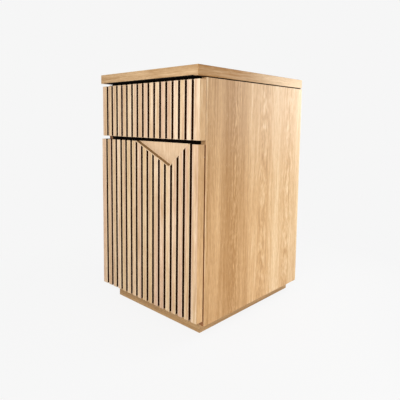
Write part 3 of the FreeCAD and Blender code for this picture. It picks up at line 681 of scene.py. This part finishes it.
def dress_carcass():
    lying = grain_axes("X", "Y")
    # The slab's underside between the sides is near-black: painted shade under the overhang
    dress("top_panel", two_faced("oak_top", slab_wood, slab_underside_shade, GAP_BLACK, SLAB_GLOSS))
    for side in SIDES:
        panel = oak(f"oak_side_{side}", grain_axes("Z", "Y"), OAK, SEED[f"side_{side}"], **SIDE_LOOK)
        dress(f"side_panel_{side}", panel)
        lipping = lipping_oak(f"oak_lipping_{side}", SEED[f"lipping_{side}"], LIPPING_SHADE_ABOVE_DOOR[side])
        dress(f"side_lipping_{side}", lipping)
        plinth = oak(f"oak_plinth_{side}", grain_axes("Y", "Z"), PLINTH, SEED["plinth_sides"])
        dress(f"plinth_{side}", plinth)
    for face in FACES:
        plinth = oak(f"oak_plinth_{face}", grain_axes("X", "Z"), PLINTH, SEED["plinth_faces"])
        dress(f"plinth_{face}", plinth)
        for side in SIDES:
            block = oak(f"beech_{face}_{side}", grain_axes("Z", "X"), BEECH, SEED["plinth_blocks"])
            dress(f"plinth_block_{face}_{side}", block)
    for node in ("sub_top", "divider"):
        dress(node, dark_board(f"dark_{node}"))
    dress("bottom_panel", oak("oak_bottom", lying, OAK, SEED["bottom"]))
    dress("shelf", oak("oak_shelf", lying, OAK, SEED["shelf"]))
    dress("back_panel", oak("oak_back", grain_axes("Z", "X"), OAK, SEED["back"]))
    dress("carcass_tenons", oak("beech_tenons", lying, BEECH, SEED["tenons"]))


def dress_front(front):
    """One front: its slats, its core with a veneered back, and its two upright bands."""
    upright = grain_axes("Z", "X")
    slats = figured(upright, SLAT, SEED[f"{front}_slats"], **SLAT_LOOK)
    facing = two_faced(f"oak_slats_{front}", slats, groove_walls, GROOVE_STAIN, SLAT_GLOSS)
    dress(f"{front}_facing", facing)
    veneer = figured(upright, OAK, SEED[f"{front}_core"], flitch=CORE_FLITCH)
    core = two_faced(f"dark_{front}", veneer, not_the_back, GROOVE_STAIN, STAIN_GLOSS)
    dress(f"{front}_core", core)
    for side in SIDES:
        seed = SEED[f"{front}_uprights"]
        band = oak(f"oak_{front}_band_{side}", grain_axes("Z", "Y"), OAK, seed, BAND_HIGHLIGHT_WEAR, **BAND_LOOK)
        dress(f"{front}_band_{side}", band)


def dress_fronts():
    for front in ("drawer", "door"):
        dress_front(front)
    for front, edge in (("drawer", "top"), ("drawer", "bottom"), ("door", "bottom")):
        band = oak(f"oak_{front}_band_{edge}", grain_axes("X", "Y"), SLAT, SEED[f"{front}_rails"])
        dress(f"{front}_band_{edge}", band)
    # The door's top band is near-black: painted shade in the gap above the door
    dress("door_band_top", dark_board("painted_shade_door_band"))
    dress("door_pull", pull_oak("oak_pull"))


def dress_drawer_box():
    for side in SIDES:
        board = oak(f"box_{side}", grain_axes("Y", "Z"), BOX_WOOD, SEED["box_sides"], flitch=BOX_FLITCH)
        dress(f"drawer_box_{side}", board)
    for face in FACES:
        board = oak(f"box_{face}", grain_axes("X", "Z"), BOX_WOOD, SEED["box_faces"], flitch=BOX_FLITCH)
        dress(f"drawer_box_{face}", board)
    tray = oak("box_tray", grain_axes("Y", "X"), BOX_WOOD, SEED["tray"], flitch=TRAY_FLITCH)
    dress("drawer_tray", tray)


def dress_hardware():
    steel = metal("zinc_steel", ZINC, ZINC_ROUGH)
    nickel = metal("nickel_steel", NICKEL, NICKEL_ROUGH)
    for side in SIDES:
        for member in ("outer", "middle", "inner"):
            dress(f"slide_{member}_{side}", steel)
    for hinge in HINGES:
        for member in ("cup", "arm", "plate"):
            dress(f"hinge_{member}_{hinge}", nickel)
    for node in nodes:
        if node.endswith("_screws") or node in ("hinge_pins", "shelf_pins"):
            dress(node, nickel)
    return nickel


# Making and placing small hardware
MILLIMETRE = 0.001
WELD = 0.00001
PLACE_DIGITS = 5
LENGTH_DIGITS = 2
TURNED_SIDES = 28
SHARP = math.radians(35.0)

# Screws, in millimetres; the dome's outline is in shares of the head's radius and height
HEAD_RADIUS = 3.4
HEAD_HEIGHT = 1.4
HEAD_DOME = ((0.0, 1.0), (0.4, 0.98), (0.68, 0.87), (0.87, 0.66), (0.97, 0.36), (1.0, 0.12), (1.0, 0.0))
SHANK_RADIUS = 1.75
THREAD_ROOT = 1.3
THREAD_PITCH = 1.2
CROSS_REACH = 1.9
CROSS_WIDTH = 0.85
CROSS_TAPER = 0.55
CROSS_DEPTH = 1.1
ADJUSTER_BITE = 3.0
ADJUSTER_ROWS = (12.0, 40.0)
SCREWS = {
    "top_screws": ("carcass", Z),
    "hinge_plate_screws": ("carcass", X),
    "slide_outer_screws": ("carcass", X),
    "slide_inner_screws": ("drawer", X),
    "drawer_front_screws": ("drawer", Y),
    "hinge_cup_screws": ("door", Y),
}

# Shelf pins: depth of a groove in millimetres, and the grooves' places in shares of the length
PIN_GROOVE = 0.35
PIN_GROOVES = (0.45, 0.5)

# Bumpers: the dome's share of the height, and the steps that it is turned in
BUMPER_DOME = 0.7
BUMPER_STEPS = 6


def turned(profile):
    """A closed shape turned about Z from (radius, height) pairs that start and end on the axis."""
    shape = bmesh.new()
    angles = [math.tau * number / TURNED_SIDES for number in range(TURNED_SIDES)]
    rings = []
    for radius, height in profile:
        spots = [(radius * math.cos(angle), radius * math.sin(angle), height) for angle in angles]
        rings.append([shape.verts.new(spot) for spot in (spots if radius else spots[:1])])
    for upper, lower in zip(rings, rings[1:]):
        for number in range(TURNED_SIDES):
            after = (number + 1) % TURNED_SIDES
            corners = [upper[number % len(upper)], upper[after % len(upper)]]
            corners += [lower[after % len(lower)], lower[number % len(lower)]]
            shape.faces.new(list(dict.fromkeys(corners)))
    bmesh.ops.recalc_face_normals(shape, faces=shape.faces)
    return shape


def cross_recess():
    """The tapered cross that a driver leaves room for in a screw's head."""
    wide = CROSS_WIDTH / 2
    arm = [(wide, wide), (wide, CROSS_REACH), (-wide, CROSS_REACH)]
    plan = []
    for quarter in range(4):
        turn = Matrix.Rotation(math.tau * quarter / 4, 2)
        plan += [turn @ Vector(corner) for corner in arm]
    shape = bmesh.new()
    ends = ((HEAD_HEIGHT + CROSS_DEPTH, 1.0 + CROSS_TAPER), (HEAD_HEIGHT - CROSS_DEPTH, CROSS_TAPER))
    rings = []
    for height, share in ends:
        rings.append([shape.verts.new((*(share * corner), height)) for corner in plan])
    count = len(plan)
    for number in range(count):
        after = (number + 1) % count
        shape.faces.new([rings[0][number], rings[0][after], rings[1][after], rings[1][number]])
    for ring in rings:
        shape.faces.new(ring)
    bmesh.ops.recalc_face_normals(shape, faces=shape.faces)
    return shape


def as_mesh(name, shape):
    mesh = bpy.data.meshes.new(name)
    shape.to_mesh(mesh)
    shape.free()
    return mesh


def carved(shape, tool):
    """The first shape with the second taken out of it."""
    pair = []
    for name, form in (("blank", shape), ("tool", tool)):
        pair.append(bpy.data.objects.new(name, as_mesh(name, form)))
        bpy.context.scene.collection.objects.link(pair[-1])
    recess = pair[0].modifiers.new("recess", "BOOLEAN")
    recess.operation = "DIFFERENCE"
    recess.object = pair[1]
    ready = bpy.context.evaluated_depsgraph_get()
    mesh = bpy.data.meshes.new_from_object(pair[0].evaluated_get(ready))
    for thing in pair:
        bpy.data.objects.remove(thing)
    return mesh


def screw(length):
    """A pan-head screw with a cross recess: its head stands on the plane z = 0, its thread goes down."""
    profile = [(HEAD_RADIUS * out, HEAD_HEIGHT * up) for out, up in HEAD_DOME]
    turns = int(length / THREAD_PITCH)
    for number in range(turns):
        profile.append((SHANK_RADIUS, -number * THREAD_PITCH))
        profile.append((THREAD_ROOT, -(number + 0.5) * THREAD_PITCH))
    profile += [(THREAD_ROOT, -length + THREAD_PITCH / 2), (0.0, -length)]
    return carved(turned(profile), cross_recess())


def shelf_pin(length):
    """A turned pin: rounded at the end that carries the shelf, with two grooves near its middle."""
    radius = (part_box("shelf_pins")[1].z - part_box("shelf_pins")[0].z) / 2 / MILLIMETRE
    step = radius / 2
    root = radius - PIN_GROOVE
    profile = [(0.0, 0.0), (radius - step, -step / 4), (radius - step / 4, -step), (radius, -2 * step)]
    for share in PIN_GROOVES:
        top = -length * share
        bottom = top - PIN_GROOVE
        profile += [(radius, top), (root, top), (root, bottom), (radius, bottom)]
    profile += [(radius, step - length), (radius - step, -length), (0.0, -length)]
    return as_mesh("shelf_pin", turned(profile))


def bumper_dome(length):
    """A stick-on stop: a short skirt and a low dome."""
    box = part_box("door_bumpers")
    radius = (box[1].x - box[0].x) / 2 / MILLIMETRE
    profile = []
    for number in range(BUMPER_STEPS + 1):
        angle = number / BUMPER_STEPS * math.pi / 2
        profile.append((radius * math.sin(angle), -length * BUMPER_DOME * (1 - math.cos(angle))))
    profile += [(radius, -length), (0.0, -length)]
    return as_mesh("bumper", turned(profile))


def lowest(corners):
    """The lowest place of a solid along each axis, rounded."""
    return [round(min(corner[axis] for corner in corners), PLACE_DIGITS) for axis in (X, Y, Z)]


def solids(node):
    """The corners of each separate solid of a node, in a fixed order."""
    shape = bmesh.new()
    shape.from_mesh(nodes[node].data)
    bmesh.ops.remove_doubles(shape, verts=shape.verts, dist=WELD)
    left = set(shape.verts)
    found = []
    while left:
        reached = [left.pop()]
        for corner in reached:
            fresh = {edge.other_vert(corner) for edge in corner.link_edges} & left
            reached.extend(fresh)
            left -= fresh
        found.append([corner.co.copy() for corner in reached])
    shape.free()
    return sorted(found, key=lowest)


def placed(tip, way):
    """Turn a piece's +Z to the given way and put its origin at the tip, from millimetres to metres."""
    turn = Vector(way).to_track_quat("Z", "Y").to_matrix().to_4x4()
    return Matrix.Translation(tip) @ turn @ Matrix.Scale(MILLIMETRE, 4)


def detail(name, body, slot, material, forms, *replaced):
    """One piece made of placed meshes, riding a body."""
    joined = bmesh.new()
    for mesh, place in forms:
        copy = mesh.copy()
        copy.transform(place)
        joined.from_mesh(copy)
    mesh = as_mesh(name, joined)
    mesh.shade_smooth()
    mesh.set_sharp_from_angle(angle=SHARP)
    mesh.materials.append(material)
    piece = bpy.data.objects.new(name, mesh)
    bpy.context.scene.collection.objects.link(piece)
    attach(piece, body)
    if replaced:
        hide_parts(*replaced)


def span(corners, axis):
    """Lowest and highest corner of a solid, and its length along an axis in millimetres."""
    low = Vector([min(corner[number] for corner in corners) for number in (X, Y, Z)])
    high = Vector([max(corner[number] for corner in corners) for number in (X, Y, Z)])
    return low, high, (high[axis] - low[axis]) / MILLIMETRE


def standing(node, axis, make, towards=None, lift=0.0):
    """A placed mesh for each solid of a node, whose free end is where most corners are or the given way."""
    forms = []
    meshes = {}
    for corners in solids(node):
        low, high, length = span(corners, axis)
        middle = (low + high) / 2
        gathered = sum(corner[axis] for corner in corners) / len(corners)
        sign = towards(middle) if towards else math.copysign(1.0, gathered - middle[axis])
        way = Vector([sign if number == axis else 0.0 for number in (X, Y, Z)])
        tip = middle + way * (length / 2 - lift) * MILLIMETRE
        size = round(length, LENGTH_DIGITS)
        if size not in meshes:
            meshes[size] = make(length - lift)
        forms.append((meshes[size], placed(tip, way)))
    return forms


def inwards(middle):
    """The way along X to the middle plane."""
    return -math.copysign(1.0, middle.x)


def forwards(_):
    """The way along Y to the front, the same for every place."""
    return -1.0


def detail_hardware(nickel):
    for node, (body, axis) in SCREWS.items():
        forms = standing(node, axis, screw, lift=HEAD_HEIGHT)
        detail(f"{node}_cross", body, "hinge_nickel", nickel, forms, node)
    pins = standing("shelf_pins", X, shelf_pin, inwards)
    detail("shelf_pins_turned", "carcass", "hinge_nickel", nickel, pins, "shelf_pins")
    rubber = soft_plastic("clear_bumper")
    stops = standing("door_bumpers", Y, bumper_dome, forwards)
    detail("door_bumpers_domed", "carcass", "bumper", rubber, stops, "door_bumpers")
    adjuster = screw(ADJUSTER_BITE)
    for hinge in HINGES:
        low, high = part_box(f"hinge_arm_{hinge}")
        forms = []
        for row in ADJUSTER_ROWS:
            spot = Vector((high.x, high.y - row * MILLIMETRE, (low.z + high.z) / 2))
            forms.append((adjuster, placed(spot, (1.0, 0.0, 0.0))))
        detail(f"hinge_adjusters_{hinge}", "carcass", "hinge_nickel", nickel, forms)


def camera():
    data = bpy.data.cameras.new("camera")
    data.lens = CAMERA_LENS
    data.sensor_width = CAMERA_SENSOR
    data.shift_y = CAMERA_SHIFT
    eye = bpy.data.objects.new("camera", data)
    turn = Matrix.Rotation(math.radians(CAMERA_TURN), 4, "Z")
    level = Matrix.Rotation(math.radians(90.0 + CAMERA_TILT), 4, "X")
    roll = Matrix.Rotation(math.radians(CAMERA_ROLL), 4, "Z")
    eye.matrix_world = Matrix.Translation(CAMERA_PLACE) @ turn @ level @ roll
    bpy.context.scene.collection.objects.link(eye)
    bpy.context.scene.camera = eye


def seen_directly(graph):
    """1 where the camera, a mirror or glass looks at the backdrop, 0 where it only lights the object."""
    path = graph.add("LightPath")
    seen = graph.math("MAXIMUM", path.outputs["Is Camera Ray"], path.outputs["Is Glossy Ray"])
    return graph.math("MAXIMUM", seen, path.outputs["Is Transmission Ray"])


def world():
    made = bpy.data.worlds.new("studio")
    bpy.context.scene.world = made
    graph = Graph(made)
    level = graph.choose(seen_directly(graph), WORLD_LEVEL, BACKGROUND)
    ground = graph.add("Background", {"Color": WHITE, "Strength": level})
    output = graph.add("OutputWorld")
    graph.tree.links.new(ground.outputs[0], output.inputs["Surface"])


def floor_material():
    """Close to the object the floor takes its shadow, further out it is the plain background."""
    material, graph = new_material("pale_floor")
    away = graph.add("VectorMath", {0: graph.place()}, operation="LENGTH").outputs["Value"]
    matt = graph.add("BsdfDiffuse", {"Color": (FLOOR_TONE, FLOOR_TONE, FLOOR_TONE, 1.0)})
    level = graph.spread(away, *FLOOR_FADE, FLOOR_GLOW, BACKGROUND)
    glow = graph.add("Emission", {"Color": WHITE, "Strength": level})
    share = graph.spread(away, *FLOOR_FADE, FLOOR_SHARE, 1.0)
    plain = graph.math("MULTIPLY", seen_directly(graph), share)
    mixed = graph.add("MixShader", {0: plain, 1: matt.outputs[0], 2: glow.outputs[0]})
    graph.finish(mixed)
    return material


def floor():
    mesh = bpy.data.meshes.new("floor")
    half = FLOOR_HALF
    corners = [(-half, -half, 0), (half, -half, 0), (half, half, 0), (-half, half, 0)]
    mesh.from_pydata(corners, [], [(0, 1, 2, 3)])
    mesh.materials.append(floor_material())
    ground = bpy.data.objects.new("floor", mesh)
    bpy.context.scene.collection.objects.link(ground)


def area_light(name, place, target, size, power):
    data = bpy.data.lights.new(name, "AREA")
    data.shape = "RECTANGLE"
    data.size, data.size_y = size
    data.energy = power
    lamp = bpy.data.objects.new(name, data)
    towards = Vector(target) - Vector(place)
    turn = towards.to_track_quat("-Z", "Y").to_matrix().to_4x4()
    lamp.matrix_world = Matrix.Translation(place) @ turn
    bpy.context.scene.collection.objects.link(lamp)


dress_carcass()
dress_fronts()
dress_drawer_box()
detail_hardware(dress_hardware())
camera()
world()
floor()
for lamp in LAMPS:
    area_light(*lamp)
bpy.context.scene.view_settings.view_transform = "Standard"
